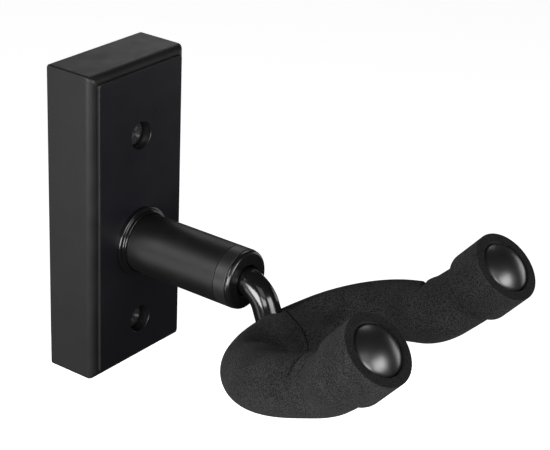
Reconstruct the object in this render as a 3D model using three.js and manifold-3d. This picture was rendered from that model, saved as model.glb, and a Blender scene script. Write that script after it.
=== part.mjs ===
// A wall guitar hanger: a black block screwed to the wall, a round post standing out
// of it, and a foam-covered yoke that swivels in the end of the post.
//
// Millimetres. The wall is the plane Y = 0 and the origin is the middle of the block's
// back. X points right as seen from the room, Y into the wall and Z up.

import * as THREE from 'three';
import Module from 'manifold-3d';
import { mergeVertices } from 'three/addons/utils/BufferGeometryUtils.js';

const wasm = await Module();
wasm.setup();

// ---- driving dimensions ----

const gap = 0.3; // clearance between pieces that fit together

const block = { width: 55, height: 130, depth: 23.3, edge: 3.2 };
const panel = { thickness: 1.3, inset: 3.3, edge: 0.4 };
const front = block.depth + panel.thickness; // how far the panel's face is from the wall

const wallScrew = {
  heights: { upper: 34.4, lower: -46.5 },
  turns: { upper: 40, lower: 12 }, // how far each cross recess is turned, in degrees
  head: 5, headDepth: 3.2, sunk: 2.6, shank: 2.1, thread: 2.6, pitch: 3, length: 38,
  recess: { width: 1.4, span: 5.6, depth: 2 },
  counterbore: 5.65,
};

const axisHeight = -11; // height of the post's axis, below the middle of the block
const post = { radius: 12.1, wall: 2, end: 71.3 };
const baseRing = { radius: 14.5, edge: 26.3, lip: 12.9, lipEnd: 27.8 };
const collarRing = { end: 77 };
const bush = { lip: 11.9, end: 79.1, round: 1.9, bore: 6, mouth: 6.9, spigotEnd: 60 };
const innerBush = { from: 46.5, to: 56.5, shoulder: 9.8 };

const plug = { from: 23.6, to: 35.5 };
const bolt = { shank: 4, hexFlats: 13, headHeight: 5.3, end: 34 };
const counterbore = { radius: 8.8, depth: 9.5 };
const washer = { radius: 8, thickness: 1.6 };
const lockWasher = { radius: 7, thickness: 2, slot: 1.2 };

const rod = { radius: 5.5, shoulder: 46.2, corner: 85.4, bend: 12.1, stub: 4, stubEnd: 37.5 };
const nut = { flats: 13, height: 6, from: 38.2 };
const thrustWasher = { radius: 9, thickness: 1.4 };

// The yoke's bar, right half: corners of its centre line and the bend at each of them.
const bar = { radius: 5, bends: [39, 31, 16, 14] };
const barMiddle = new THREE.Vector3(0, -90.7, -35.7);
const barShoulder = new THREE.Vector3(41.8, -108.4, -27.9);
const barWaist = new THREE.Vector3(35.8, -143, -17.4);
const barEnd = new THREE.Vector3(42.5, -167.6, 8.5); // middle of the end foam's face
const endRise = THREE.MathUtils.degToRad(48.4); // how steeply the ends point up
const endRun = 21.5; // straight length behind the end foam's face

const foam = { radius: 12, seam: 6 };
const endFoam = { radius: 14.25, length: 18.2, faceRound: 0.6, backRound: 2.8, recess: 10.5 };
const cap = { radius: 10.2, rise: 4.2, sunk: 0.8, rim: 1.8, socket: 7.5, socketEnd: 14, floor: 3 };

// ---- finishes ----

function finish(color, roughness, metalness) {
  return new THREE.MeshStandardMaterial({ color, roughness, metalness });
}

const satinPaint = finish(0x2b2b2c, 0.45, 0);
const panelFinish = finish(0x1b1a20, 0.25, 0);
const satinMetal = finish(0x1d1d1f, 0.35, 0.6);
const glossMetal = finish(0x0b0b0c, 0.2, 0.7);
const glossPlastic = finish(0x0e0e10, 0.22, 0);
const nylon = finish(0xd8d4c6, 0.5, 0);
const zincSteel = finish(0x9da0a3, 0.4, 0.9);
const foamFinish = finish(0x262627, 0.95, 0);

// ---- solids ----

// The geometry as a solid that can be cut and joined.
function toSolid(geometry) {
  const bare = geometry.index ? geometry.clone() : geometry;
  bare.deleteAttribute('normal');
  bare.deleteAttribute('uv');
  const merged = mergeVertices(bare, 1e-4);
  return new wasm.Manifold(new wasm.Mesh({
    numProp: 3,
    vertProperties: new Float32Array(merged.attributes.position.array),
    triVerts: new Uint32Array(merged.index.array),
  }));
}

function toGeometry(solid) {
  const mesh = solid.getMesh();
  const geometry = new THREE.BufferGeometry();
  geometry.setAttribute('position', new THREE.BufferAttribute(mesh.vertProperties, 3));
  geometry.setIndex(new THREE.BufferAttribute(mesh.triVerts, 1));
  return geometry;
}

function cut(geometry, ...cutters) {
  let solid = toSolid(geometry);
  for (const cutter of cutters) solid = solid.subtract(toSolid(cutter));
  return toGeometry(solid);
}

function join(first, ...others) {
  let solid = toSolid(first);
  for (const other of others) solid = solid.add(toSolid(other));
  return toGeometry(solid);
}

// A turned piece on an axis along Y. Each profile point is [radius, distance out from the
// wall]. The profile runs from the outer end towards the wall along the outside, and comes
// back along the inside or ends on the axis.
function turned(profile, segments = 40) {
  return new THREE.LatheGeometry(profile.map(([r, d]) => new THREE.Vector2(r, -d)), segments);
}

// Points on a quarter circle from [r, d] to the end point, bulging to the outside.
function roundTo([r0, d0], [r1, d1], steps = 5) {
  const points = [];
  for (let i = 0; i <= steps; i += 1) {
    const angle = (i / steps) * Math.PI / 2;
    const [across, along] = r1 > r0
      ? [Math.sin(angle), 1 - Math.cos(angle)]
      : [1 - Math.cos(angle), Math.sin(angle)];
    points.push([r0 + (r1 - r0) * across, d0 + (d1 - d0) * along]);
  }
  return points;
}

// A round hole or pin along Y, at a given height, from one distance out to another.
function cylinder(radius, from, to, height = 0, segments = 48) {
  const geometry = new THREE.CylinderGeometry(radius, radius, to - from, segments);
  return geometry.translate(0, -(from + to) / 2, height);
}

function hexagon(flats, from, to) {
  return cylinder(flats / Math.sqrt(3), from, to, 0, 6);
}

// A rectangular plate facing the room, with a rounded rim that meets at mitred corners.
function plate(width, height, from, to, round, steps) {
  const w = width / 2 - round;
  const h = height / 2 - round;
  const corners = [[-w, -h], [w, -h], [w, h], [-w, h]];
  const outline = new THREE.Shape(corners.map(([x, y]) => new THREE.Vector2(x, y)));
  const geometry = new THREE.ExtrudeGeometry(outline, {
    depth: to - from - 2 * round,
    bevelThickness: round, bevelSize: round, bevelSegments: steps,
  });
  return geometry.rotateX(Math.PI / 2).translate(0, -from - round, 0);
}

// ---- bent bars ----

class Arc extends THREE.Curve {
  constructor(centre, from, to, turn) {
    super();
    Object.assign(this, { centre, from, to, turn });
  }

  getPoint(t, target = new THREE.Vector3()) {
    const a = Math.sin((1 - t) * this.turn) / Math.sin(this.turn);
    const b = Math.sin(t * this.turn) / Math.sin(this.turn);
    return target.copy(this.centre).addScaledVector(this.from, a).addScaledVector(this.to, b);
  }
}

// The centre line of a bar through the corners, with a bend of the given radius at each.
class BentLine extends THREE.Curve {
  constructor(corners, bends) {
    super();
    this.runs = [];
    let start = corners[0];
    for (let i = 1; i < corners.length - 1; i += 1) {
      const back = corners[i - 1].clone().sub(corners[i]).normalize();
      const ahead = corners[i + 1].clone().sub(corners[i]).normalize();
      const turn = Math.PI - back.angleTo(ahead);
      const reach = bends[i - 1] * Math.tan(turn / 2);
      const entry = corners[i].clone().addScaledVector(back, reach);
      const exit = corners[i].clone().addScaledVector(ahead, reach);
      const centre = back.clone().add(ahead).normalize()
        .multiplyScalar(bends[i - 1] / Math.cos(turn / 2)).add(corners[i]);
      this.addRun(new THREE.LineCurve3(start, entry), start.distanceTo(entry));
      const arc = new Arc(centre, entry.clone().sub(centre), exit.clone().sub(centre), turn);
      this.addRun(arc, bends[i - 1] * turn);
      start = exit;
    }
    const last = corners[corners.length - 1];
    this.addRun(new THREE.LineCurve3(start, last), start.distanceTo(last));
    this.length = this.runs.reduce((sum, run) => sum + run.length, 0);
    this.from = 0;
    this.to = this.length;
  }

  addRun(curve, length) {
    this.runs.push({ curve, length });
  }

  getPoint(t, target = new THREE.Vector3()) {
    let rest = this.from + (this.to - this.from) * t;
    for (const { curve, length } of this.runs) {
      if (rest <= length) return curve.getPoint(rest / length, target);
      rest -= length;
    }
    const last = this.runs[this.runs.length - 1];
    return last.curve.getPoint(1, target);
  }

  // The stretch of the same line between two distances along it.
  stretch(from, to) {
    const part = Object.assign(Object.create(BentLine.prototype), this);
    part.cacheArcLengths = null;
    part.from = from;
    part.to = to;
    return part;
  }
}

// A round bar along a line, or a tube when it has a bore.
function sweep(line, radius, step, sides, bore = 0) {
  const section = new THREE.Shape();
  section.absarc(0, 0, radius, 0, Math.PI * 2);
  if (bore) {
    const hole = new THREE.Path();
    hole.absarc(0, 0, bore, 0, Math.PI * 2, true);
    section.holes.push(hole);
  }
  const steps = Math.ceil((line.to - line.from) / step);
  const curveSegments = sides / 2;
  return new THREE.ExtrudeGeometry(section, { steps, curveSegments, extrudePath: line });
}

// ---- the model ----

const hanger = new THREE.Group();

function add(name, geometry, material, parent = hanger) {
  const piece = new THREE.Mesh(geometry, material);
  piece.name = name;
  parent.add(piece);
  return piece;
}

const postGroup = new THREE.Group();
postGroup.position.z = axisHeight;
hanger.add(postGroup);

// Block and panel, with their holes

const headFace = front - wallScrew.sunk;
const headSeat = headFace - wallScrew.headDepth;

function screwHoles() {
  return Object.values(wallScrew.heights).flatMap((height) => [
    cylinder(wallScrew.counterbore, headSeat - gap, front + 1, height, 32),
    cylinder(wallScrew.thread + gap, -1, front, height, 24),
  ]);
}

function makeBlock() {
  const { width, height, depth, edge } = block;
  const body = plate(width, height, -edge, depth, edge, 5);
  const behindWall = new THREE.BoxGeometry(width * 2, 20, height * 2).translate(0, 10, 0);
  const boltHole = cylinder(bolt.shank + gap, -1, depth + 1, axisHeight, 32);
  const boltRecess = cylinder(counterbore.radius, -1, counterbore.depth, axisHeight);
  return cut(body, behindWall, boltHole, boltRecess, ...screwHoles());
}

function makePanel() {
  const { inset, edge } = panel;
  const body = plate(block.width - 2 * inset, block.height - 2 * inset,
    block.depth - edge, front, edge, 4);
  const belowPanel = new THREE.BoxGeometry(block.width, edge * 2, block.height)
    .translate(0, -block.depth + edge, 0);
  return cut(body, belowPanel, cylinder(post.radius + gap, 0, front + 1, axisHeight),
    ...screwHoles());
}

add('wall_block', makeBlock(), satinPaint);
add('front_panel', makePanel(), panelFinish);

// Wall screws

function makeWallScrew(turn) {
  const { head, shank, thread, pitch, length, recess } = wallScrew;
  const tip = headFace - length;
  const profile = [[0, headFace], ...roundTo([head - 1.6, headFace], [head, headFace - 1.6]),
    [head, headSeat], [shank, headSeat], [shank, 8]];
  for (let d = 6; d > tip + 6; d -= pitch) {
    profile.push([shank, d], [thread, d - pitch * 0.4], [shank, d - pitch * 0.8]);
  }
  profile.push([shank, tip + 5], [0, tip]);
  const slots = [0, 90].map((angle) => new THREE.BoxGeometry(recess.span, recess.depth * 2,
    recess.width).rotateY(THREE.MathUtils.degToRad(angle + turn)).translate(0, -headFace, 0));
  return cut(turned(profile, 20), ...slots);
}

for (const side of ['upper', 'lower']) {
  const screw = add(`${side}_wall_screw`, makeWallScrew(wallScrew.turns[side]), glossMetal);
  screw.position.z = wallScrew.heights[side];
}

// Post: base ring, tube, the plug and bolt that hold it, and the bearings in its far end

function makeBaseRing() {
  const { radius, edge, lip, lipEnd } = baseRing;
  const bore = post.radius + gap;
  const crown = (bore + lip) / 2;
  return turned([[bore, lipEnd - 0.3], [crown, lipEnd], [lip, lipEnd - 0.3],
    [lip + 0.4, edge + 0.3], ...roundTo([radius - 0.9, edge], [radius, edge - 0.9], 4),
    [radius, front], [bore, front], [bore, lipEnd - 0.3]]);
}

const tubeBore = post.radius - post.wall;

function makeFrontBush() {
  const { lip, end, round, bore, mouth, spigotEnd } = bush;
  const spigot = tubeBore - gap;
  return turned([[mouth, end], ...roundTo([lip - round, end], [lip, end - round]),
    [lip, collarRing.end + gap / 2], [spigot, collarRing.end + gap / 2], [spigot, spigotEnd],
    [bore, spigotEnd], [bore, end - 1.4], [mouth, end]]);
}

function makeRing(outer, inner, from, to, segments = 36) {
  return turned([[inner, to], [outer, to], [outer, from], [inner, from], [inner, to]], segments);
}

function makeBolt() {
  const head = counterbore.depth - washer.thickness - lockWasher.thickness;
  return join(hexagon(bolt.hexFlats, head - bolt.headHeight, head),
    cylinder(bolt.shank, head - 1, bolt.end, 0, 32));
}

function makeLockWasher() {
  const { radius, thickness, slot } = lockWasher;
  const to = counterbore.depth - washer.thickness;
  const opening = new THREE.BoxGeometry(radius * 2, thickness * 3, slot)
    .rotateY(0.2).translate(radius, -to, 0);
  return cut(makeRing(radius, bolt.shank + gap, to - thickness, to), opening);
}

add('base_ring', makeBaseRing(), glossMetal, postGroup);
add('post_tube', makeRing(post.radius, tubeBore, block.depth, post.end), satinMetal, postGroup);
add('post_plug', makeRing(tubeBore - gap, bolt.shank + gap, plug.from, plug.to), zincSteel,
  postGroup);
add('post_bolt', makeBolt(), zincSteel, postGroup);
add('post_washer', makeRing(washer.radius, bolt.shank + gap,
  counterbore.depth - washer.thickness, counterbore.depth), zincSteel, postGroup);
add('post_lock_washer', makeLockWasher(), zincSteel, postGroup);
add('inner_bush', makeRing(innerBush.shoulder, rod.radius + gap, innerBush.from, innerBush.to),
  nylon, postGroup);
add('collar_ring', makeRing(post.radius, tubeBore, post.end + gap / 2, collarRing.end),
  satinMetal, postGroup);
add('front_bush', makeFrontBush(), glossPlastic, postGroup);

// Yoke: the rod that turns in the post, and the bar welded across its lower end

const mirror = new THREE.Vector3(-1, 1, 1);
const endDirection = new THREE.Vector3(0, -Math.cos(endRise), Math.sin(endRise));
const barKnee = barEnd.clone().addScaledVector(endDirection, -endRun);
const rightCorners = [barShoulder, barWaist, barKnee, barEnd];
const leftCorners = rightCorners.map((corner) => corner.clone().multiply(mirror)).reverse();
const [middleBend, shoulderBend, waistBend, kneeBend] = bar.bends;
const barLine = new BentLine([...leftCorners, barMiddle, ...rightCorners],
  [kneeBend, waistBend, shoulderBend, middleBend, shoulderBend, waistBend, kneeBend]);
const middle = barLine.length / 2;

const rodLine = new BentLine([
  new THREE.Vector3(0, -rod.shoulder, axisHeight),
  new THREE.Vector3(0, -rod.corner, axisHeight),
  barLine.getPoint(0.5),
], [rod.bend]);

function makeRod() {
  const bent = sweep(rodLine, rod.radius, 2, 24);
  const stub = cylinder(rod.stub, rod.stubEnd, rod.shoulder + 1, axisHeight, 32);
  const acrossBar = sweep(barLine.stretch(middle - 15, middle + 15), bar.radius + gap, 2, 24);
  return cut(join(bent, stub), acrossBar);
}

function makeBar() {
  const end = barLine.length - cap.floor - gap;
  return sweep(barLine.stretch(cap.floor + gap, end), bar.radius, 4, 16);
}

// One foam sleeve, between two distances along the bar, with room for the rod
function makeSleeve(from, to) {
  const sleeve = sweep(barLine.stretch(from, to), foam.radius, 4.5, 24, bar.radius + gap);
  return cut(sleeve, sweep(rodLine, rod.radius + gap, 3, 20));
}

add('swivel_rod', makeRod(), glossMetal);
add('yoke_bar', makeBar(), glossMetal);

const thrustEnd = rod.shoulder - gap;
add('thrust_washer', makeRing(thrustWasher.radius, rod.stub + gap,
  thrustEnd - thrustWasher.thickness, thrustEnd), zincSteel, postGroup);
add('lock_nut', cut(hexagon(nut.flats, nut.from, nut.from + nut.height),
  cylinder(rod.stub + gap, nut.from - 1, nut.from + nut.height + 1, 0, 32)), zincSteel,
postGroup);

const sleeveEnd = endFoam.length + gap;
const seam = middle + foam.seam;
add('left_arm_foam', makeSleeve(sleeveEnd, seam - gap / 2), foamFinish);
add('right_arm_foam', makeSleeve(seam + gap / 2, barLine.length - sleeveEnd), foamFinish);

// Arm ends. Their distances are counted back from the end foam's face.

function makeEndFoam() {
  const { radius, length, faceRound, backRound, recess } = endFoam;
  const bore = cap.socket + gap;
  const discBack = -cap.sunk - cap.rim - gap;
  const back = roundTo([radius, -length + backRound], [radius - backRound, -length]);
  return turned([[recess, 0], ...roundTo([radius - faceRound, 0], [radius, -faceRound], 3),
    ...back, [bore, -length], [bore, discBack], [recess, discBack], [recess, 0]], 36);
}

function makeEndCap() {
  const { radius, rise, sunk, rim, socket, socketEnd, floor } = cap;
  const bulge = (radius * radius + rise * rise) / (2 * rise);
  const dome = [];
  const steps = 6;
  for (let i = 0; i <= steps; i += 1) {
    const r = (radius * i) / steps;
    dome.push([r, Math.sqrt(bulge * bulge - r * r) - bulge + rise - sunk]);
  }
  return turned([...dome, [radius, -sunk - rim], [socket, -sunk - rim], [socket, -socketEnd],
    [bar.radius + gap, -socketEnd], [bar.radius + gap, -floor], [0, -floor]], 36);
}

for (const [side, sign] of [['left', -1], ['right', 1]]) {
  const end = new THREE.Group();
  end.position.set(sign * barEnd.x, barEnd.y, barEnd.z);
  end.rotation.x = -endRise;
  hanger.add(end);
  add(`${side}_end_foam`, makeEndFoam(), foamFinish, end);
  add(`${side}_end_cap`, makeEndCap(), glossPlastic, end);
}

export default hanger;
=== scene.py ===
"""Looks of a wall guitar hanger: a black block, a round post and a foam-covered yoke.

Lengths in the shapes are millimetres and become metres when a mesh is made. The wall is
the plane y = 0, the yoke reaches out along -y, and z is up. "Out" below is the distance
from the wall, so a point that is 30 out has y = -30.
"""

import math

import bmesh
import bpy
import numpy as np
from mathutils import Matrix, Vector


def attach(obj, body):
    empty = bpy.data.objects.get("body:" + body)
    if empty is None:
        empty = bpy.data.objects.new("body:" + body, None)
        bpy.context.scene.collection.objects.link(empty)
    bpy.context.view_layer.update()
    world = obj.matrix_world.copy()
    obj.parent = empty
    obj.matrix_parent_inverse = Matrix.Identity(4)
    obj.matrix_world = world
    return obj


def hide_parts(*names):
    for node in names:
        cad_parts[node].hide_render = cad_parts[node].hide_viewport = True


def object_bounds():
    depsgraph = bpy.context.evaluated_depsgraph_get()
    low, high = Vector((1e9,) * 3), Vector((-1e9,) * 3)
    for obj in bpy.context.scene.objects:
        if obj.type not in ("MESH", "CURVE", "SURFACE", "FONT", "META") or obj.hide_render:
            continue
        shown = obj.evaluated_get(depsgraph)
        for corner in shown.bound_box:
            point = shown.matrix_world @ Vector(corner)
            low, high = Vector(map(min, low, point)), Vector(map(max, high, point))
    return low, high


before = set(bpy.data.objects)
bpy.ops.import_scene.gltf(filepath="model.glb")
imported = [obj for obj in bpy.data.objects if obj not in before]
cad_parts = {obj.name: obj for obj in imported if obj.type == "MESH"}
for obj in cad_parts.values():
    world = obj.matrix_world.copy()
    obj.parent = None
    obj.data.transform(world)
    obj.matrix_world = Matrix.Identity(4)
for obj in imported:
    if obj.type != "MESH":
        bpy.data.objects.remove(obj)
cad_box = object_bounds()

MM = 0.001
RINGS = 128  # facets round a turned piece

# ---- sizes shared with the CAD model ----

WIDTH, HEIGHT, BLOCK_OUT, FRONT_OUT = 55, 130, 23.3, 24.6
EDGE_ROUND, PANEL_INSET, PANEL_ROUND = 3.2, 3.3, 0.4
SCREWS = {"upper": (34.4, 40), "lower": (-46.5, 12)}  # height, turn of the cross
SCREW_HOLE, SCREW_CLEARANCE = 5.65, 2.9
HEAD_OUT, HEAD_DEPTH = 22, 3.2
AXIS_HEIGHT = -11
POST_RADIUS, POST_BORE = 12.1, 10.1
POST_END, COLLAR_END, BUSH_END = 71.3, 77, 79.1
BOLT_HOLE, BOLT_RECESS, RECESS_DEPTH = 4.3, 8.8, 9.5
ROD_RADIUS, BAR_RADIUS, FOAM_RADIUS = 5.5, 5, 12
ROD_SHOULDER, ROD_CORNER, ROD_BEND = 46.2, 85.4, 12.1
STUB_RADIUS, STUB_END = 4, 37.5
END_RISE = math.radians(48.4)
END_POINT = np.array((42.5, -167.6, 8.5))
END_DIRECTION = np.array((0, -math.cos(END_RISE), math.sin(END_RISE)))
END_RUN, END_LENGTH, END_RADIUS = 21.5, 18.2, 14.25
CAP_RADIUS, CAP_RISE, CAP_SUNK = 10.2, 4.2, 0.8
SHOULDER_POINT = np.array((41.8, -108.4, -27.9))
WAIST_POINT = np.array((35.8, -143, -17.4))
MIDDLE_POINT = np.array((0, -90.7, -35.7))
MIDDLE_BEND, SHOULDER_BEND, WAIST_BEND, KNEE_BEND = 39, 31, 16, 14
GAP = 0.3  # clearance between pieces that fit together


# ---- lines ----

def unit(vector):
    return vector / np.linalg.norm(vector)


class BentLine:
    """Straight runs between corners, with a round bend of a given radius at each corner."""

    def __init__(self, corners, bends):
        self.runs = []
        start = corners[0]
        for before, corner, after, radius in zip(corners, corners[1:], corners[2:], bends):
            back, ahead = unit(before - corner), unit(after - corner)
            turn = math.pi - math.acos(np.clip(back @ ahead, -1, 1))
            reach = radius * math.tan(turn / 2)
            entry, leave = corner + back * reach, corner + ahead * reach
            centre = corner + unit(back + ahead) * radius / math.cos(turn / 2)
            self.runs.append((np.linalg.norm(entry - start), start, entry, None, 0))
            self.runs.append((radius * turn, entry, leave, centre, turn))
            start = leave
        last = corners[-1]
        self.runs.append((np.linalg.norm(last - start), start, last, None, 0))
        self.length = sum(run[0] for run in self.runs)

    def point(self, distance):
        for length, start, end, centre, turn in self.runs:
            if distance <= length:
                break
            distance -= length
        t = distance / length
        if centre is None:
            return start + (end - start) * t
        first = math.sin((1 - t) * turn) / math.sin(turn)
        second = math.sin(t * turn) / math.sin(turn)
        return centre + (start - centre) * first + (end - centre) * second

    def frames(self, distances):
        """Point, tangent and two directions across it, for each distance, without twist."""
        points = np.array([self.point(s) for s in distances])
        step = 0.05
        tangents = np.array([unit(self.point(s + step) - self.point(s - step)) for s in distances])
        side = unit(np.cross(tangents[0], (0.1, 0.2, 1)))
        frames = []
        for point, tangent in zip(points, tangents):
            side = unit(side - tangent * (side @ tangent))
            frames.append((point, tangent, side, np.cross(tangent, side)))
        return frames


mirror = np.array((-1, 1, 1))
right_corners = [SHOULDER_POINT, WAIST_POINT, END_POINT - END_DIRECTION * END_RUN, END_POINT]
left_corners = [corner * mirror for corner in reversed(right_corners)]
arm_bends = [SHOULDER_BEND, WAIST_BEND, KNEE_BEND]
bar_line = BentLine([*left_corners, MIDDLE_POINT, *right_corners],
                    [*reversed(arm_bends), MIDDLE_BEND, *arm_bends])
bar_middle = bar_line.length / 2
rod_line = BentLine([
    np.array((0, -ROD_SHOULDER, AXIS_HEIGHT)),
    np.array((0, -ROD_CORNER, AXIS_HEIGHT)),
    bar_line.point(bar_middle),
], [ROD_BEND])


# ---- meshes ----

def to_mesh(name, vertices, faces):
    """A mesh from millimetre points, with its faces turned outwards."""
    mesh = bpy.data.meshes.new(name)
    mesh.from_pydata([tuple(v) for v in np.asarray(vertices, float) * MM], [], faces)
    shape = bmesh.new()
    shape.from_mesh(mesh)
    bmesh.ops.recalc_face_normals(shape, faces=shape.faces)
    shape.to_mesh(mesh)
    shape.free()
    return mesh


def to_object(name, mesh):
    made = bpy.data.objects.new(name, mesh)
    bpy.context.scene.collection.objects.link(made)
    return made


def rounded(corners, closed, steps=7):
    """A profile of [radius, out] points from corners of (radius, out, rounding)."""
    places = [np.array(corner[:2], float) for corner in corners]
    profile = []
    for i, (here, corner) in enumerate(zip(places, corners)):
        inside = closed or 0 < i < len(corners) - 1
        if not corner[2] or not inside:
            profile.append(here)
            continue
        back = unit(places[i - 1] - here)
        ahead = unit(places[(i + 1) % len(places)] - here)
        half = math.acos(np.clip(back @ ahead, -1, 1)) / 2
        centre = here + unit(back + ahead) * corner[2] / math.sin(half)
        reach = corner[2] / math.tan(half)
        start, end = here + back * reach - centre, here + ahead * reach - centre
        turn = math.pi - 2 * half
        for k in range(steps + 1):
            t = k / steps
            weights = math.sin((1 - t) * turn), math.sin(t * turn)
            profile.append(centre + (start * weights[0] + end * weights[1]) / math.sin(turn))
    return profile


def turned(corners, closed=True, place=None, rings=RINGS, steps=7):
    """Vertices and faces of a turned piece round an axis along y."""
    profile = rounded(corners, closed, steps)
    angles = np.arange(rings) * 2 * math.pi / rings
    vertices, loops = [], []
    for radius, out in profile:
        if radius < 1e-6:
            loops.append([len(vertices)])
            vertices.append((0, -out, 0))
            continue
        loops.append(list(range(len(vertices), len(vertices) + rings)))
        vertices += [(radius * math.cos(a), -out, radius * math.sin(a)) for a in angles]
    faces = []
    pairs = list(zip(loops, loops[1:])) + ([(loops[-1], loops[0])] if closed else [])
    for one, two in pairs:
        for k in range(rings):
            n = (k + 1) % rings
            if len(one) == 1:
                faces.append((one[0], two[k], two[n]))
            elif len(two) == 1:
                faces.append((one[k], two[0], one[n]))
            else:
                faces.append((one[k], two[k], two[n], one[n]))
    place = place or Matrix.Translation((0, 0, AXIS_HEIGHT))
    return [tuple(place @ Vector(v)) for v in vertices], faces


def swept(line, distances, radii, sides=96, bore=None):
    """Vertices and faces of a bar along a line, or of a tube if it has a bore."""
    frames = line.frames(distances)
    angles = np.arange(sides) * 2 * math.pi / sides
    around = np.array([(math.cos(a), math.sin(a)) for a in angles])

    def loop(frame_, radius):
        point, _, side, other = frame_
        return point + radius * (around[:, :1] * side + around[:, 1:] * other)

    loops = [loop(f, r) for f, r in zip(frames, radii)]
    if bore:
        loops += [loop(f, bore) for f in (frames[-1], *frames[-2::-1])]
    vertices = np.concatenate(loops)
    faces = []
    count = len(loops)
    last = count if bore else count - 1
    for i in range(last):
        j = (i + 1) % count
        for k in range(sides):
            n = (k + 1) % sides
            faces.append((i * sides + k, j * sides + k, j * sides + n, i * sides + n))
    if not bore:
        faces.append(tuple(range(sides)))
        faces.append(tuple(range((count - 1) * sides, count * sides)))
    return vertices, faces


def rounded_ends(start, end, radius, rounding, step):
    """Distances along a bar and its radius at each, with its two end edges rounded."""
    angles = [k * math.pi / 16 for k in range(9)]
    inset = [rounding * (1 - math.sin(a)) for a in angles]
    along = [rounding * (1 - math.cos(a)) for a in angles]
    count = max(2, round((end - start - 2 * rounding) / step))
    middle = list(np.linspace(start + rounding, end - rounding, count + 1))[1:-1]
    distances = [start + a for a in along] + middle + [end - a for a in reversed(along)]
    radii = ([radius - i for i in inset] + [radius] * len(middle)
             + [radius - i for i in reversed(inset)])
    return distances, radii


def slab(half_width, half_height, steps, corner=0.35, arc=3):
    """A plate facing the room with a mitred rim. Each step is (inset from the outline, out)."""
    outline = []
    for sx, sz, first in ((1, 1, 0), (-1, 1, 1), (-1, -1, 2), (1, -1, 3)):
        for k in range(arc + 1):
            a = (first + k / arc) * math.pi / 2
            outline.append((sx, sz, math.cos(a), math.sin(a)))
    vertices = []
    for inset, out in steps:
        for sx, sz, ca, sa in outline:
            x = sx * (half_width - inset - corner) + corner * ca
            z = sz * (half_height - inset - corner) + corner * sa
            vertices.append((x, -out, z))
    n = len(outline)
    faces = [tuple(range(n)), tuple(range((len(steps) - 1) * n, len(steps) * n))]
    for i in range(len(steps) - 1):
        for k in range(n):
            m = (k + 1) % n
            faces.append((i * n + k, (i + 1) * n + k, (i + 1) * n + m, i * n + m))
    return vertices, faces


def quarter(radius, inset, out, turn, steps=8):
    """Steps of a quarter-round edge, from the side to the face (turn 1) or back to side (0)."""
    made = []
    for k in range(steps + 1):
        a = k / steps * math.pi / 2
        if turn:
            made.append((inset + radius * (1 - math.cos(a)), out + radius * math.sin(a)))
        else:
            made.append((inset + radius * (1 - math.sin(a)), out + radius * (1 - math.cos(a))))
    return made


def combine(target, tools, operation):
    """Cuts the tools from the target, or joins them to it, and removes them."""
    for tool in tools:
        step = target.modifiers.new("shape", "BOOLEAN")
        step.operation, step.object, step.solver = operation, tool, "EXACT"
    bpy.context.view_layer.update()
    graph = bpy.context.evaluated_depsgraph_get()
    mesh = bpy.data.meshes.new_from_object(target.evaluated_get(graph))
    target.modifiers.clear()
    target.data = mesh
    for tool in tools:
        bpy.data.objects.remove(tool)


def pin(radius, inner, outer, height, sides=64):
    """A round cutter along y between two distances out."""
    place = Matrix.Translation((0, 0, height))
    corners = [(0, outer, 0), (radius, outer, 0), (radius, inner, 0), (0, inner, 0)]
    shape = turned(corners, closed=False, place=place, rings=sides)
    return to_object("cutter", to_mesh("cutter", *shape))


def countersink(radius, out, height, chamfer):
    """A cutter that breaks the edge of a hole in a face."""
    place = Matrix.Translation((0, 0, height))
    corners = [(0, out + 1, 0), (radius + chamfer + 1, out + 1, 0), (radius - 1, out - chamfer - 1, 0),
               (0, out - chamfer - 1, 0)]
    shape = turned(corners, closed=False, place=place, rings=64)
    return to_object("cutter", to_mesh("cutter", *shape))


def smooth(made, sharp=32):
    """Smooth shading that stays crisp on real edges and keeps flat faces flat."""
    mesh = made.data
    mesh.shade_smooth()
    mesh.set_sharp_from_angle(angle=math.radians(sharp))
    keep = made.modifiers.new("even_shading", "WEIGHTED_NORMAL")
    keep.keep_sharp = True


def finish_piece(made, body, nodes, material, sharp=32):
    if sharp:
        smooth(made, sharp)
    made.data.materials.clear()
    made.data.materials.append(material)
    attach(made, body)
    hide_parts(*nodes)
    return made


# ---- materials ----

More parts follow.
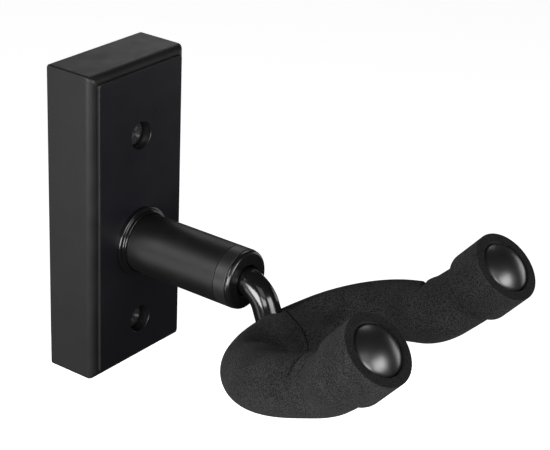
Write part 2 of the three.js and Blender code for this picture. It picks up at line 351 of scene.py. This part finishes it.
class Surface:
    """A procedural material: a base colour broken up by noise, roughness and bumps."""

    def __init__(self, name, color, roughness, metallic=0.0, specular=0.5):
        self.material = bpy.data.materials.new(name)
        self.material.use_nodes = True
        self.tree = self.material.node_tree
        self.shader = self.tree.nodes["Principled BSDF"]
        self.shader.inputs["Metallic"].default_value = metallic
        self.shader.inputs["Specular IOR Level"].default_value = specular
        self.place = self.tree.nodes.new("ShaderNodeTexCoord").outputs["Object"]
        self.color = (*color, 1)
        self.roughness = roughness
        self.shader.inputs["Base Color"].default_value = self.color
        self.shader.inputs["Roughness"].default_value = roughness
        self.height = None

    def noise(self, size, detail=2.0, roughness=0.5, stretch=(1, 1, 1)):
        """Noise with features of about this size in millimetres."""
        mapping = self.tree.nodes.new("ShaderNodeMapping")
        mapping.inputs["Scale"].default_value = [s / (size * MM) for s in stretch]
        self.tree.links.new(self.place, mapping.inputs["Vector"])
        node = self.tree.nodes.new("ShaderNodeTexNoise")
        node.inputs["Scale"].default_value = 1
        node.inputs["Detail"].default_value = detail
        node.inputs["Roughness"].default_value = roughness
        self.tree.links.new(mapping.outputs["Vector"], node.inputs["Vector"])
        return node.outputs["Fac"]

    def cells(self, size):
        mapping = self.tree.nodes.new("ShaderNodeMapping")
        mapping.inputs["Scale"].default_value = [1 / (size * MM)] * 3
        self.tree.links.new(self.place, mapping.inputs["Vector"])
        node = self.tree.nodes.new("ShaderNodeTexVoronoi")
        node.inputs["Scale"].default_value = 1
        self.tree.links.new(mapping.outputs["Vector"], node.inputs["Vector"])
        return node.outputs["Distance"]

    def spread(self, value, low, high, start=0.3, end=0.7):
        """The value's middle range stretched to run from low to high."""
        node = self.tree.nodes.new("ShaderNodeMapRange")
        for key, number in (("From Min", start), ("From Max", end), ("To Min", low),
                            ("To Max", high)):
            node.inputs[key].default_value = number
        self.tree.links.new(value, node.inputs["Value"])
        return node.outputs["Result"]

    def vary_color(self, value, other, start=0.3, end=0.7):
        mix = self.tree.nodes.new("ShaderNodeMix")
        mix.data_type = "RGBA"
        self.tree.links.new(self.spread(value, 0, 1, start, end), mix.inputs["Factor"])
        shader_color = self.shader.inputs["Base Color"]
        if shader_color.links:
            self.tree.links.new(shader_color.links[0].from_socket, mix.inputs["A"])
        else:
            mix.inputs["A"].default_value = self.color
        mix.inputs["B"].default_value = (*other, 1)
        self.tree.links.new(mix.outputs["Result"], shader_color)

    def vary_roughness(self, value, low, high):
        self.tree.links.new(self.spread(value, low, high), self.shader.inputs["Roughness"])

    def bump(self, value, depth, strength=1.0):
        """Adds relief of a depth in millimetres, on top of earlier relief."""
        node = self.tree.nodes.new("ShaderNodeBump")
        node.inputs["Strength"].default_value = strength
        node.inputs["Distance"].default_value = depth * MM
        self.tree.links.new(value, node.inputs["Height"])
        if self.height:
            self.tree.links.new(self.height, node.inputs["Normal"])
        self.height = node.outputs["Normal"]
        self.tree.links.new(self.height, self.shader.inputs["Normal"])


def make_paint():
    paint = Surface("satin_black_paint", (0.0100, 0.0100, 0.0104), 0.42)
    paint.vary_color(paint.noise(18, 3), (0.0128, 0.0128, 0.0132))
    paint.vary_roughness(paint.noise(7, 4), 0.38, 0.46)
    paint.bump(paint.noise(1.1, 2), 0.02)
    paint.bump(paint.noise(0.35, 1), 0.008)
    return paint.material


def make_panel():
    panel = Surface("smooth_black_laminate", (0.0095, 0.0092, 0.0125), 0.3)
    panel.vary_color(panel.noise(30, 2), (0.0115, 0.011, 0.0150))
    panel.vary_roughness(panel.noise(12, 3), 0.27, 0.33)
    panel.bump(panel.noise(0.8, 2), 0.004)
    return panel.material


def make_coating():
    coating = Surface("satin_black_coating", (0.004, 0.004, 0.0042), 0.44, specular=0.65)
    coating.vary_roughness(coating.noise(6, 4), 0.41, 0.48)
    coating.vary_color(coating.noise(14, 2), (0.0055, 0.0055, 0.0058))
    coating.bump(coating.noise(0.5, 2), 0.008)
    return coating.material


def make_collar_coating():
    coating = Surface("burnished_black_coating", (0.010, 0.010, 0.0105), 0.41, specular=0.8)
    coating.vary_roughness(coating.noise(5, 4), 0.38, 0.45)
    coating.vary_color(coating.noise(14, 2), (0.014, 0.014, 0.0145))
    coating.bump(coating.noise(0.5, 2), 0.006)
    return coating.material


def make_gloss_metal():
    gloss = Surface("gloss_black_enamel", (0.006, 0.006, 0.0065), 0.16, specular=0.95)
    gloss.vary_roughness(gloss.noise(5, 4), 0.13, 0.2)
    gloss.bump(gloss.noise(1.6, 2), 0.006)
    return gloss.material


def make_black_oxide():
    oxide = Surface("black_zinc_plating", (0.16, 0.16, 0.163), 0.24, metallic=0.85)
    oxide.vary_color(oxide.noise(1.5, 4), (0.42, 0.42, 0.43))
    oxide.vary_roughness(oxide.noise(0.8, 4), 0.18, 0.3)
    oxide.bump(oxide.noise(0.25, 2), 0.006)
    return oxide.material


def make_plastic():
    plastic = Surface("gloss_black_plastic", (0.006, 0.006, 0.0066), 0.22, specular=0.9)
    plastic.vary_roughness(plastic.noise(4, 3), 0.19, 0.27)
    plastic.bump(plastic.noise(2.2, 2), 0.006)
    plastic.bump(plastic.noise(0.22, 1), 0.0025)
    return plastic.material


def make_cap_plastic():
    plastic = Surface("satin_black_plastic", (0.006, 0.006, 0.0066), 0.36, specular=0.9)
    plastic.vary_roughness(plastic.noise(4, 3), 0.34, 0.39)
    plastic.bump(plastic.noise(2.2, 2), 0.008)
    plastic.bump(plastic.noise(0.3, 1), 0.004)
    plastic.shader.inputs["Coat Weight"].default_value = 1
    plastic.shader.inputs["Coat Roughness"].default_value = 0.32
    plastic.shader.inputs["Coat IOR"].default_value = 1.65
    return plastic.material


def make_foam(name, color, light, dark):
    foam = Surface(name, color, 0.95, specular=0.12)
    foam.vary_color(foam.noise(9, 3), light)
    foam.vary_color(foam.noise(0.5, 2, 0.7), dark, 0.44, 0.57)
    foam.vary_color(foam.noise(0.42, 2, 0.7), light, 0.52, 0.62)
    foam.bump(foam.noise(4, 2), 0.12)
    foam.bump(foam.cells(0.6), 0.13)
    foam.bump(foam.noise(0.48, 2, 0.7), 0.3)
    foam.shader.inputs["Sheen Weight"].default_value = 0.1
    foam.shader.inputs["Sheen Roughness"].default_value = 0.6
    foam.shader.inputs["Sheen Tint"].default_value = (0.5, 0.5, 0.52, 1)
    return foam.material


def make_zinc():
    zinc = Surface("zinc_plated_steel", (0.34, 0.35, 0.36), 0.36, metallic=0.9)
    zinc.vary_color(zinc.noise(2.5, 4), (0.26, 0.27, 0.29))
    zinc.vary_roughness(zinc.noise(1, 4), 0.3, 0.46)
    zinc.bump(zinc.noise(0.3, 3), 0.01)
    return zinc.material


def make_nylon():
    nylon = Surface("nylon", (0.6, 0.58, 0.5), 0.5)
    nylon.vary_color(nylon.noise(4, 3), (0.66, 0.63, 0.55))
    nylon.bump(nylon.noise(0.6, 2), 0.01)
    return nylon.material


paint, laminate, coating = make_paint(), make_panel(), make_coating()
collar_coating = make_collar_coating()
gloss_metal, black_oxide = make_gloss_metal(), make_black_oxide()
plastic, cap_plastic = make_plastic(), make_cap_plastic()
skin_foam = make_foam("foam_skin", color=(0.0205, 0.0205, 0.021), light=(0.047, 0.047, 0.0477),
                      dark=(0.003, 0.003, 0.0032))
# The cut-face foam is a darker copy of the skin foam: partly the cut foam's own tone, partly painted
# shade on the upward-facing cut faces.
shaded_cut_foam = make_foam("foam_cut_face_painted_shade", color=(0.009, 0.009, 0.0093), light=(0.019, 0.019, 0.0195),
                     dark=(0.002, 0.002, 0.0022))
zinc, nylon = make_zinc(), make_nylon()


# ---- block and panel ----

def screw_holes(chamfer_out):
    holes = []
    for height, _ in SCREWS.values():
        holes.append(pin(SCREW_HOLE, HEAD_OUT - HEAD_DEPTH - GAP, FRONT_OUT + 1, height))
        holes.append(pin(SCREW_CLEARANCE, -1, FRONT_OUT, height, 48))
        if chamfer_out:
            holes.append(countersink(SCREW_HOLE, chamfer_out, height, 0.25))
    return holes


def make_block():
    back_round = 0.9
    steps = (quarter(back_round, 0, 0, 0, 5)
             + quarter(EDGE_ROUND, 0, BLOCK_OUT - EDGE_ROUND, 1, 8))
    shape = slab(WIDTH / 2, HEIGHT / 2, steps, 1.1, 6)
    block = to_object("painted_block", to_mesh("painted_block", *shape))
    cutters = screw_holes(None)
    cutters.append(pin(BOLT_HOLE, -1, BLOCK_OUT + 1, AXIS_HEIGHT))
    cutters.append(pin(BOLT_RECESS, -1, RECESS_DEPTH, AXIS_HEIGHT, 96))
    combine(block, cutters, "DIFFERENCE")
    return finish_piece(block, "wall_mount", ["wall_block"], paint)


def make_front_panel():
    """The thin panel: a glossy face, with the block's paint on its rounded rim."""
    steps = [(0, BLOCK_OUT), *quarter(PANEL_ROUND, 0, FRONT_OUT - PANEL_ROUND, 1, 6)]
    half = WIDTH / 2 - PANEL_INSET, HEIGHT / 2 - PANEL_INSET
    panel = to_object("face_panel", to_mesh("face_panel", *slab(*half, steps, 1, 6)))
    cutters = screw_holes(FRONT_OUT)
    cutters.append(pin(POST_RADIUS + GAP, 0, FRONT_OUT + 1, AXIS_HEIGHT, 96))
    combine(panel, cutters, "DIFFERENCE")
    finish_piece(panel, "wall_mount", ["front_panel"], laminate)
    panel.data.materials.append(paint)
    for face in panel.data.polygons:
        x, y, z = face.center / MM
        rim = max(abs(x) - half[0], abs(z) - half[1]) > -PANEL_ROUND * 0.9
        if rim:
            face.material_index = 1
    return panel


make_block()
make_front_panel()


# ---- wall screws ----

def make_screw(side, height, turn):
    """A pan-head screw with a tapered cross recess and a helical thread."""
    place = Matrix.Translation((0, 0, height))
    crown = 0.9
    dome = [(4.0 * math.sin(a), HEAD_OUT - crown * (1 - math.cos(a)) * 2, 0)
            for a in (k * math.pi / 24 for k in range(1, 9))]
    corners = [(0, HEAD_OUT, 0), *dome, (5, HEAD_OUT - 1.5, 0.5), (5, HEAD_OUT - HEAD_DEPTH, 0.2),
               (2.1, HEAD_OUT - HEAD_DEPTH, 0.3), (2.1, 8, 0), (0, 8, 0)]
    head = to_object("screw_" + side, to_mesh("screw_" + side, *turned(corners, False, place, 96)))
    cutters = []
    for quarter_turn in range(2):
        wide, narrow, span, tip, depth = 1.35, 0.7, 5.7, 2.6, 2.6
        points = []
        ends = ((HEAD_OUT + 0.5, wide * 1.1, span * 1.1), (HEAD_OUT - depth, narrow, tip))
        for out, w, s in ends:
            points += [(x * s / 2, -out, z * w / 2) for x, z in ((1, 1), (-1, 1), (-1, -1), (1, -1))]
        spin = Matrix.Rotation(math.radians(turn + 90 * quarter_turn), 4, "Y")
        points = [tuple(place @ spin @ Vector(p)) for p in points]
        faces = [(0, 1, 2, 3), (4, 5, 6, 7)]
        faces += [(k, (k + 1) % 4, 4 + (k + 1) % 4, 4 + k) for k in range(4)]
        cutters.append(to_object("cutter", to_mesh("cutter", points, faces)))
    combine(head, cutters, "DIFFERENCE")
    combine(head, [make_thread(place)], "UNION")
    return finish_piece(head, "wall_mount", [side + "_wall_screw"], black_oxide,
                        28)


def make_thread(place):
    """The threaded length of a wall screw: a helical ridge that fades out at both ends."""
    shank, crest, pitch, tip = 2.05, 2.6, 2.4, HEAD_OUT - 38
    sides, start = 36, 8.5
    outs = np.arange(start, tip, -0.24)
    vertices, faces = [], []
    for out in outs:
        fade = min(1, (start - out) / 3) * min(1, (out - tip) / 2)
        core = shank * min(1, (out - tip) / 5)
        for k in range(sides):
            angle = 2 * math.pi * k / sides
            phase = (out / pitch + k / sides) % 1
            ridge = max(0, 1 - abs(phase - 0.5) * 5)
            radius = max(core + (crest - shank) * ridge * fade, 0.05)
            vertices.append((radius * math.cos(angle), -out, radius * math.sin(angle)))
    rows = len(outs)
    for i in range(rows - 1):
        for k in range(sides):
            n = (k + 1) % sides
            faces.append((i * sides + k, i * sides + n, (i + 1) * sides + n, (i + 1) * sides + k))
    faces += [tuple(range(sides)), tuple(range((rows - 1) * sides, rows * sides))]
    vertices = [tuple(place @ Vector(v)) for v in vertices]
    return to_object("thread", to_mesh("thread", vertices, faces))


for side, (height, turn) in SCREWS.items():
    make_screw(side, height, turn)


# ---- post ----

def add_turned(name, corners, body, nodes, material, slot, **options):
    made = to_object(name, to_mesh(name, *turned(corners, **options)))
    return finish_piece(made, body, nodes, material)


BORE = POST_RADIUS + GAP
add_turned("foot_ring", [
    (BORE, 27.8, 0.1), (12.95, 27.8, 0.25), (13.1, 26.45, 0.3), (14.5, 26.3, 0.6),
    (14.5, FRONT_OUT, 0), (BORE, FRONT_OUT, 0),
], "wall_mount", ["base_ring"], gloss_metal, "gloss_black_metal")
add_turned("post", [
    (POST_RADIUS, POST_END, 0.2), (POST_RADIUS, BLOCK_OUT, 0), (POST_BORE, BLOCK_OUT, 0),
    (POST_BORE, POST_END, 0),
], "wall_mount", ["post_tube"], coating, "black_metal")
add_turned("collar", [
    (POST_RADIUS, COLLAR_END, 0.3), (POST_RADIUS, POST_END + GAP / 2, 0.2),
    (POST_BORE, POST_END + GAP / 2, 0), (POST_BORE, COLLAR_END, 0),
], "wall_mount", ["collar_ring"], collar_coating, "black_metal")
add_turned("nose_bush", [
    (6.6, BUSH_END, 0.25), (11.9, BUSH_END, 1.4), (11.9, COLLAR_END + GAP / 2, 0.2),
    (POST_BORE - GAP, COLLAR_END + GAP / 2, 0), (POST_BORE - GAP, 60, 0.3), (6, 60, 0),
    (6, BUSH_END - 0.8, 0.2),
], "wall_mount", ["front_bush"], plastic, "black_plastic")

# ---- yoke metal ----


def make_swivel_rod():
    distances = list(np.arange(0, rod_line.length, 0.5))
    rod = to_object("bent_rod", to_mesh("bent_rod", *swept(
        rod_line, [max(0.1, s) for s in distances], [ROD_RADIUS] * len(distances))))
    stub = pin(STUB_RADIUS, STUB_END, ROD_SHOULDER + 1.8, AXIS_HEIGHT)
    combine(rod, [stub], "UNION")
    near = list(np.arange(bar_middle - 15, bar_middle + 15, 1))
    cutter = to_object("cutter", to_mesh("cutter", *swept(
        bar_line, near, [BAR_RADIUS + GAP] * len(near), 64)))
    combine(rod, [cutter], "DIFFERENCE")
    return finish_piece(rod, "yoke", ["swivel_rod"], gloss_metal)


def make_bar():
    distances, radii = rounded_ends(3.3, bar_line.length - 3.3, BAR_RADIUS, 0.8, 1.5)
    bar = to_object("bent_bar", to_mesh("bent_bar", *swept(bar_line, distances, radii, 48)))
    return finish_piece(bar, "yoke", ["yoke_bar"], gloss_metal)


make_swivel_rod()
make_bar()


# ---- foam ----

SEAM = bar_middle + 6
SEAM_GAP = 0.5
SLEEVE_END = END_LENGTH + GAP

# Folds in the skin. Places are on the right arm, in millimetres, and so are the moves, which
# go into the foam, or out of it where they are negative.
CREASE = {"shift": 4.8, "lean": 0.3, "curve": 0.012, "width": 1.7, "depth": 4.3}
CREASE_LIP = {"offset": 3, "width": 3.8, "height": 2.3}
RIGHT_CREASE = 0.4  # the right arm's crease, as a share of the left one's
HOLLOW = {"place": (16, -104, -21), "stretch": (0.7, 1, 1), "width": 9.5, "move": 5.4}
SHOULDER_BULGE = {"place": (29, -110.5, -17), "stretch": (1, 0.8, 1), "width": 8, "move": -1.4}
ROD_LIP = {"place": (-1.5, -93, -22), "stretch": (0.7, 1.2, 1), "width": 8, "move": -3.2}
FOLD_OUTWARD = unit(np.array((-0.35, -0.2, 0.92)))


def fade(value, width):
    """Falls smoothly from 1 at zero to nothing at the width."""
    t = np.clip(1 - np.abs(value) / width, 0, 1)
    return t * t * (3 - 2 * t)


def push(points, place, stretch, width, move, outward):
    """Points moved in against a direction, most at a place and less further from it."""
    away = np.linalg.norm((points - place) * stretch, axis=1)
    return points - (fade(away, width) * move)[:, None] * outward


def crease(points, share):
    """A crease across the inner side of the right arm's waist, with a lip on its outer side."""
    near, far = unit(SHOULDER_POINT - WAIST_POINT), unit(right_corners[2] - WAIST_POINT)
    inward, across = unit(near + far), unit(far - near)
    normal = np.cross(across, inward)
    local = points - WAIST_POINT
    depth, along, height = local @ inward, local @ across, local @ normal
    on_skin = np.clip((np.linalg.norm(local, axis=1) - 8) / 3, 0, 1)
    inner_side = np.clip((depth - 2) / 5, 0, 1)
    line = along + CREASE["shift"] - CREASE["lean"] * height - CREASE["curve"] * height ** 2
    groove = fade(line, CREASE["width"]) * CREASE["depth"]
    lip = fade(line - CREASE_LIP["offset"], CREASE_LIP["width"]) * CREASE_LIP["height"]
    move = share * (groove - lip) * on_skin * inner_side * fade(height - 7, 10)
    return points - move[:, None] * inward


def sculpt_sleeve(points, sign):
    """Moves the skin of a sleeve: a crease and a hollow where it bends, a lip at the rod."""
    mirrored = crease(points * (sign, 1, 1), 1 if sign < 0 else RIGHT_CREASE)
    mirrored = push(mirrored, **HOLLOW, outward=FOLD_OUTWARD)
    mirrored = push(mirrored, **SHOULDER_BULGE, outward=FOLD_OUTWARD)
    return push(mirrored * (sign, 1, 1), **ROD_LIP, outward=np.array((0, 0, 1)))


def make_sleeve(name, node, start, end, sign):
    """A foam sleeve with softly rounded ends and a hole that hugs the rod."""
    distances, radii = rounded_ends(start, end, FOAM_RADIUS, 0.7, 0.45)
    points, faces = swept(bar_line, distances, radii, 200, BAR_RADIUS + GAP)
    sleeve = to_object(name, to_mesh(name, sculpt_sleeve(points, sign), faces))
    reach = np.arange(1, rod_line.length, 0.8)
    around = to_object("cutter", to_mesh("cutter", *swept(
        rod_line, reach, [ROD_RADIUS + 0.25] * len(reach), 64)))
    combine(sleeve, [around], "DIFFERENCE")
    finish_piece(sleeve, "yoke", [node], skin_foam, 40)
    return sleeve


make_sleeve("left_sleeve", "left_arm_foam", SLEEVE_END, SEAM - SEAM_GAP / 2, -1)
make_sleeve("right_sleeve", "right_arm_foam", SEAM + SEAM_GAP / 2,
            bar_line.length - SLEEVE_END, 1)


def make_end(side, sign):
    """The thick foam ring at an arm's end and the domed cap in it."""
    place = (Matrix.Translation((sign * END_POINT[0], END_POINT[1], END_POINT[2]))
             @ Matrix.Rotation(-END_RISE, 4, "X"))
    recess, recess_floor, bore = CAP_RADIUS + GAP, -2.9, 7.5 + GAP
    ring = [(recess, 0, 0.4), (END_RADIUS, 0, 0.5), (END_RADIUS, -END_LENGTH, 2.9),
            (bore, -END_LENGTH, 0.4), (bore, recess_floor, 0), (recess, recess_floor, 0)]
    made = to_object(side + "_ring", to_mesh(side + "_ring", *turned(ring, place=place, rings=160)))
    finish_piece(made, "yoke", [side + "_end_foam"], skin_foam)
    # The ring's front cut face gets the darker foam, which carries painted shade.
    made.data.materials.append(shaded_cut_foam)
    inverse = place.inverted()
    for face in made.data.polygons:
        spot = inverse @ (face.center / MM)
        if -spot.y > -0.3:
            face.material_index = 1
    bulge = (CAP_RADIUS ** 2 + CAP_RISE ** 2) / (2 * CAP_RISE)
    crown = CAP_RISE - CAP_SUNK
    dome = []
    for k in range(1, 17):
        r = (CAP_RADIUS - 0.5) * k / 16
        dome.append((r, math.sqrt(bulge ** 2 - r ** 2) - bulge + crown, 0))
    cap = [(0, crown, 0), *dome, (CAP_RADIUS, -CAP_SUNK - 0.3, 0.3), (CAP_RADIUS, -2.6, 0.2),
           (7.5, -2.6, 0), (7.5, -14, 0.3), (5.3, -14, 0), (5.3, -3, 0), (0, -3, 0)]
    name = side + "_button"
    made = to_object(name, to_mesh(name, *turned(cap, closed=False, place=place)))
    finish_piece(made, "yoke", [side + "_end_cap"], cap_plastic, 40)


make_end("left", -1)
make_end("right", 1)

# ---- pieces whose CAD shape is kept ----

for node in ("post_plug", "post_bolt", "post_washer", "post_lock_washer", "thrust_washer",
             "lock_nut", "inner_bush"):
    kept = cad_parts[node]
    kept.data.materials.clear()
    kept.data.materials.append(nylon if node == "inner_bush" else zinc)


# ---- floor, light and camera ----

def add_area(name, place, target, size, power, color=(1, 1, 1)):
    light = bpy.data.lights.new(name, "AREA")
    light.shape = "RECTANGLE"
    light.size, light.size_y = size
    light.energy = power
    light.color = color
    lamp = to_object(name, light)
    lamp.visible_camera = False
    lamp.location = place
    lamp.rotation_mode = "QUATERNION"
    lamp.rotation_quaternion = (Vector(target) - Vector(place)).to_track_quat("-Z", "Y")
    return lamp


floor_material = Surface("pale_floor", (0.9, 0.9, 0.9), 0.8, specular=0.1)
floor_height = cad_box[0][2] - 0.35
FLOOR_REACH = 12000
floor_corners = [(x * FLOOR_REACH, y * FLOOR_REACH, floor_height / MM)
                 for x, y in ((-1, -1), (1, -1), (1, 1), (-1, 1))]
floor = to_object("floor", to_mesh("floor", floor_corners, [(0, 1, 2, 3)]))
floor.data.materials.append(floor_material.material)
floor_material.shader.inputs["Emission Color"].default_value = (1, 1, 1, 1)
floor_material.shader.inputs["Emission Strength"].default_value = 0.9
floor.visible_glossy = False
floor.visible_diffuse = False

WORLD_STRENGTH = 0.03
world = bpy.data.worlds.new("studio")
world.use_nodes = True
world.node_tree.nodes["Background"].inputs["Color"].default_value = (1, 1, 1, 1)
world.node_tree.nodes["Background"].inputs["Strength"].default_value = WORLD_STRENGTH
bpy.context.scene.world = world
bpy.context.scene.view_settings.view_transform = "Standard"

# Softboxes: direction from the object, distance in metres, width and height, power
SOFTBOXES = {
    "behind_low": ((-0.8, 0.55, -0.25), 0.9, (0.4, 0.4), 0.7),
    "behind_high": ((-0.7, 0.5, 0.5), 1, (0.45, 0.45), 1.6),
    "left": ((-1, 0, 0.1), 1, (0.5, 0.5), 7.5),
    "left_front": ((-0.75, -0.65, 0.1), 1, (0.5, 0.5), 4),
    "left_front_high": ((-0.55, -0.55, 0.65), 1, (0.45, 0.45), 0.6),
    "front": ((-0.02, -0.95, 0.28), 0.9, (0.54, 0.4), 3.5),
    "right_high": ((0.7, 0.5, 0.5), 1, (0.45, 0.45), 0.6),
    "rim": ((0.735, 0.535, -0.4), 0.8, (0.5, 0.3), 0.9),
    "right": ((0.96, -0.26, -0.09), 1, (0.5, 0.5), 0.8),
}
for name, (direction, distance, size, power) in SOFTBOXES.items():
    aim = Vector((0, -0.09, -0.01))
    add_area(name, aim + Vector(direction).normalized() * distance, aim, size, power)


def add_camera():
    """The photograph's view: 54 degrees to the left, 25 above, through a long lens."""
    azimuth, elevation, roll = math.radians(-53.95), math.radians(24.69), math.radians(2.49)
    lens_pixels, distance, origin = 1751.16, 713.82, (95.27, 198.68)
    width, height, sensor = 550, 450, 36
    back = Vector((math.sin(azimuth) * math.cos(elevation),
                   -math.cos(azimuth) * math.cos(elevation), math.sin(elevation)))
    right = (-back).cross(Vector((0, 0, 1))).normalized()
    up = right.cross(-back)
    across = right * math.cos(roll) + up * math.sin(roll)
    upward = up * math.cos(roll) - right * math.sin(roll)
    offset = (origin[0] - width / 2) / lens_pixels, (origin[1] - height / 2) / lens_pixels
    centre = (back - across * offset[0] + upward * offset[1]) * distance * MM
    data = bpy.data.cameras.new("photo_view")
    data.sensor_width, data.lens = sensor, lens_pixels / width * sensor
    data.clip_start, data.clip_end = 0.05, 20
    camera = to_object("photo_view", data)
    camera.matrix_world = Matrix.Translation(centre) @ Matrix(
        (across, upward, back)).transposed().to_4x4()
    bpy.context.scene.camera = camera


add_camera()
